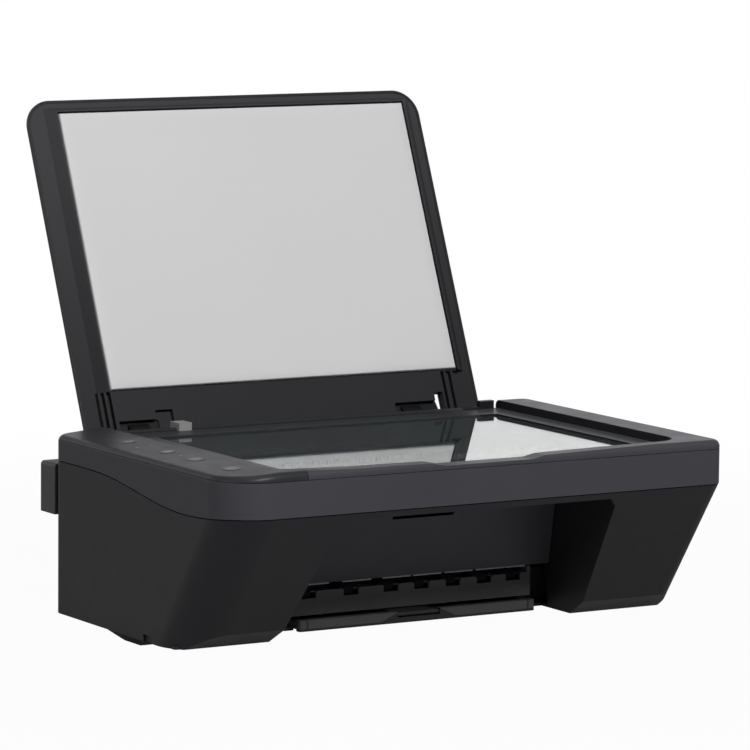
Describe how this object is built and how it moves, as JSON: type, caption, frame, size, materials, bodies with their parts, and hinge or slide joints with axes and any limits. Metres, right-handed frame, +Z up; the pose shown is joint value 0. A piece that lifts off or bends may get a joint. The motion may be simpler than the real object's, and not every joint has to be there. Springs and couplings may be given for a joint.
{
  "type": "inkjet printer",
  "caption": "Compact flatbed inkjet printer and scanner with a hinged lid, sloped front wings, a front output tray, a rear paper slot and a sliding print carriage.",
  "frame": {"origin": "on the table, under the middle of the box that the printer fills with its lid open", "axes": "+X to the right seen from the front, +Y to the back, +Z up"},
  "size_m": [0.426, 0.4145, 0.3845],
  "materials": {
    "case": "fine-grained satin black moulding",
    "band": "satin black moulding, slightly lighter",
    "panel": "semi-gloss black",
    "key": "smooth key caps",
    "inner": "plain black moulding",
    "glass": "float glass",
    "sheet": "pale grey film on foam",
    "pale": "pale grey moulding",
    "guide": "dark grey moulding",
    "natural": "undyed gear plastic",
    "steel": "plated sheet and ground shafts",
    "rubber": "soft black rubber",
    "board": "circuit board with fitted parts",
    "ink_black": "cartridge moulding",
    "ink_color": "cartridge moulding",
    "felt": "absorbent felt",
    "film": "printed film",
    "can": "plated motor can"
  },
  "bodies": {
    "body": {"base_pan": "inner", "rubber_feet": "rubber", "case_screws": "steel", "main_case": "case", "scanner_tub": "band", "scanner_top": "band", "operation_panel": "panel", "platen_glass": "glass", "panel_board": "board", "scan_rod": "steel", "hinge_posts": "inner", "hinge_clip": "pale", "rear_tray": "case", "feed_guide": "inner", "feed_motor": "can", "star_wheel_holder": "pale", "print_platen": "guide", "chassis": "steel", "carriage_belt": "rubber", "carriage_motor": "can", "encoder_strip": "film", "maintenance_unit": "guide", "waste_absorber": "felt", "logic_board": "board", "power_supply": "inner", "mains_inlet": "inner"},
    "lid": {"lid_cover": "case", "lid_liner": "inner", "lid_pad": "sheet", "lid_hinges": "inner"},
    "cover": {"access_cover": "case"},
    "tray": {"output_tray": "inner"},
    "flap": {"tray_flap": "inner"},
    "support": {"paper_support": "case"},
    "guide_left": {"paper_guide_left": "guide"},
    "guide_right": {"paper_guide_right": "guide"},
    "power_key": {"power_button": "key"},
    "stop_key": {"stop_button": "key"},
    "black_key": {"black_button": "key"},
    "color_key": {"color_button": "key"},
    "scan_head": {"scan_bar": "inner", "scan_motor": "can"},
    "scan_gear": {"scan_pinion": "natural"},
    "print_head": {"carriage": "inner", "cartridge_black": "ink_black", "cartridge_color": "ink_color"},
    "black_lever": {"lock_black": "pale"},
    "color_lever": {"lock_color": "pale"},
    "belt_drive": {"carriage_pulley": "natural"},
    "belt_idler": {"carriage_idler": "natural"},
    "feed": {"feed_roller": "steel", "feed_gear": "natural"},
    "eject": {"eject_roller": "rubber", "eject_gear": "natural"},
    "idler": {"idler_gear": "natural"},
    "pinion": {"motor_pinion": "natural"},
    "pinch": {"pinch_rollers": "inner"},
    "stars": {"star_wheels": "steel"},
    "pickup": {"pickup_roller": "rubber"}
  },
  "joints": [
    {"name": "lid_hinge", "type": "hinge", "parent": "body", "child": "lid", "pos_m": [0, 0.0813, 0.13288], "axis": [1, 0, 0], "range_deg": [0, 113.2]},
    {"name": "cover_hinge", "type": "hinge", "parent": "body", "child": "cover", "pos_m": [0, -0.0964, 0.0436], "axis": [1, 0, 0], "range_deg": [0, 75]},
    {"name": "tray_slide", "type": "slide", "parent": "body", "child": "tray", "axis": [0, -1, 0], "range_m": [0, 0.085]},
    {"name": "flap_hinge", "type": "hinge", "parent": "tray", "child": "flap", "pos_m": [0, -0.1135, 0.0147], "axis": [1, 0, 0], "range_deg": [0, 165]},
    {"name": "support_hinge", "type": "hinge", "parent": "body", "child": "support", "pos_m": [0, 0.0952, 0.112], "axis": [1, 0, 0], "range_deg": [0, 135]},
    {"name": "guide_right_slide", "type": "slide", "parent": "body", "child": "guide_right", "axis": [-1, 0, 0], "range_m": [0, 0.058]},
    {"name": "guide_left_slide", "type": "slide", "parent": "body", "child": "guide_left", "axis": [1, 0, 0], "range_m": [0, 0.058]},
    {"name": "power_press", "type": "slide", "parent": "body", "child": "power_key", "axis": [0, 0, -1], "range_m": [0, 0.0007], "stiffness_N_per_m": 400, "springref_m": -0.0005},
    {"name": "stop_press", "type": "slide", "parent": "body", "child": "stop_key", "axis": [0, 0, -1], "range_m": [0, 0.0007], "stiffness_N_per_m": 400, "springref_m": -0.0005},
    {"name": "black_press", "type": "slide", "parent": "body", "child": "black_key", "axis": [0, 0, -1], "range_m": [0, 0.0007], "stiffness_N_per_m": 400, "springref_m": -0.0005},
    {"name": "color_press", "type": "slide", "parent": "body", "child": "color_key", "axis": [0, 0, -1], "range_m": [0, 0.0007], "stiffness_N_per_m": 400, "springref_m": -0.0005},
    {"name": "scan_slide", "type": "slide", "parent": "body", "child": "scan_head", "axis": [1, 0, 0], "range_m": [0, 0.33]},
    {"name": "scan_gear_spin", "type": "hinge", "parent": "scan_head", "child": "scan_gear", "pos_m": [-0.169, -0.031, 0.1166], "axis": [0, 0, 1], "continuous": true},
    {"name": "carriage_slide", "type": "slide", "parent": "body", "child": "print_head", "axis": [-1, 0, 0], "range_m": [0, 0.28]},
    {"name": "black_lock_hinge", "type": "hinge", "parent": "print_head", "child": "black_lever", "pos_m": [0.13325, -0.0738, 0.0755], "axis": [1, 0, 0], "range_deg": [0, 32]},
    {"name": "color_lock_hinge", "type": "hinge", "parent": "print_head", "child": "color_lever", "pos_m": [0.18075, -0.0738, 0.0755], "axis": [1, 0, 0], "range_deg": [0, 32]},
    {"name": "belt_drive_spin", "type": "hinge", "parent": "body", "child": "belt_drive", "pos_m": [0.188, -0.001, 0.072], "axis": [0, 1, 0], "continuous": true},
    {"name": "belt_idler_spin", "type": "hinge", "parent": "body", "child": "belt_idler", "pos_m": [-0.188, -0.001, 0.072], "axis": [0, 1, 0], "continuous": true},
    {"name": "feed_spin", "type": "hinge", "parent": "body", "child": "feed", "pos_m": [0, -0.0325, 0.0328], "axis": [1, 0, 0], "continuous": true},
    {"name": "eject_spin", "type": "hinge", "parent": "body", "child": "eject", "pos_m": [0, -0.081, 0.031], "axis": [1, 0, 0], "continuous": true},
    {"name": "idler_spin", "type": "hinge", "parent": "body", "child": "idler", "pos_m": [-0.187, -0.05493, 0.02686], "axis": [1, 0, 0], "continuous": true},
    {"name": "pinion_spin", "type": "hinge", "parent": "body", "child": "pinion", "pos_m": [-0.187, -0.01939, 0.02362], "axis": [1, 0, 0], "continuous": true},
    {"name": "pinch_spin", "type": "hinge", "parent": "body", "child": "pinch", "pos_m": [0, -0.0315, 0.0418], "axis": [1, 0, 0], "continuous": true},
    {"name": "star_spin", "type": "hinge", "parent": "body", "child": "stars", "pos_m": [0, -0.081, 0.0422], "axis": [1, 0, 0], "continuous": true},
    {"name": "pickup_spin", "type": "hinge", "parent": "body", "child": "pickup", "pos_m": [0, 0.049, 0.0548], "axis": [1, 0, 0], "continuous": true}
  ],
  "couplings": [
    {"joint": "guide_left_slide", "follows": "guide_right_slide", "ratio": 1},
    {"joint": "scan_gear_spin", "follows": "scan_slide", "rad_per_m": 133.33},
    {"joint": "belt_drive_spin", "follows": "carriage_slide", "rad_per_m": 166.67},
    {"joint": "belt_idler_spin", "follows": "carriage_slide", "rad_per_m": 166.67},
    {"joint": "eject_spin", "follows": "feed_spin", "ratio": 0.76471},
    {"joint": "idler_spin", "follows": "feed_spin", "ratio": -0.8125},
    {"joint": "pinion_spin", "follows": "feed_spin", "ratio": -1.8571},
    {"joint": "pinch_spin", "follows": "feed_spin", "ratio": -1.4706},
    {"joint": "star_spin", "follows": "feed_spin", "ratio": -1.1835}
  ]
}
